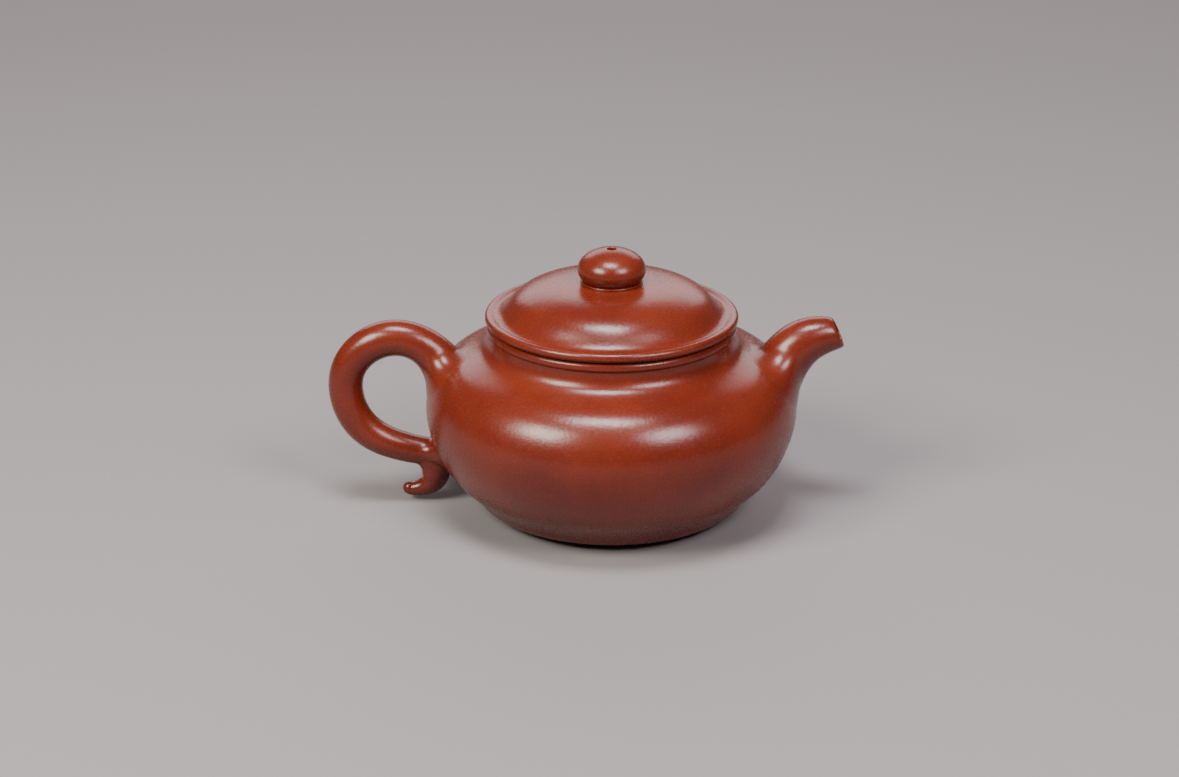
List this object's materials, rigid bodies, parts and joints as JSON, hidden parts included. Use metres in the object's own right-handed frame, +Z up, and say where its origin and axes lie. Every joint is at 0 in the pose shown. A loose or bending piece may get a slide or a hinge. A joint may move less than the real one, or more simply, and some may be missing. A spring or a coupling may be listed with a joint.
{
  "type": "clay teapot",
  "caption": "Round burnished clay teapot with a lift-off domed lid, ball knob, curved spout and an ear-shaped handle with a curled tail.",
  "frame": {"origin": "middle of the whole outline (handle to spout, front to back) on the surface that the pot stands on; the pot's own upright axis is 6.56 mm towards +X", "axes": "+X from the handle to the spout, +Y from the front to the back, +Z up along the pot's axis"},
  "size_m": [0.1332, 0.0956, 0.0695],
  "materials": {
    "burnished_clay": "satin",
    "plain_clay": "matte"
  },
  "bodies": {
    "pot": {"foot_ring": "plain_clay", "base_disc": "plain_clay", "body_wall": "burnished_clay", "neck_ring": "burnished_clay", "mouth_rim": "burnished_clay", "spout": "burnished_clay", "spout_strainer": "plain_clay", "handle": "burnished_clay", "handle_tail": "burnished_clay"},
    "lid": {"lid_dome": "burnished_clay", "lid_rim": "burnished_clay", "lid_flange": "plain_clay", "knob_collar": "burnished_clay", "knob": "burnished_clay"}
  },
  "joints": [
    {"name": "lid_lift", "type": "slide", "parent": "pot", "child": "lid", "axis": [0, 0, 1], "range_m": [0, 0.05]}
  ]
}
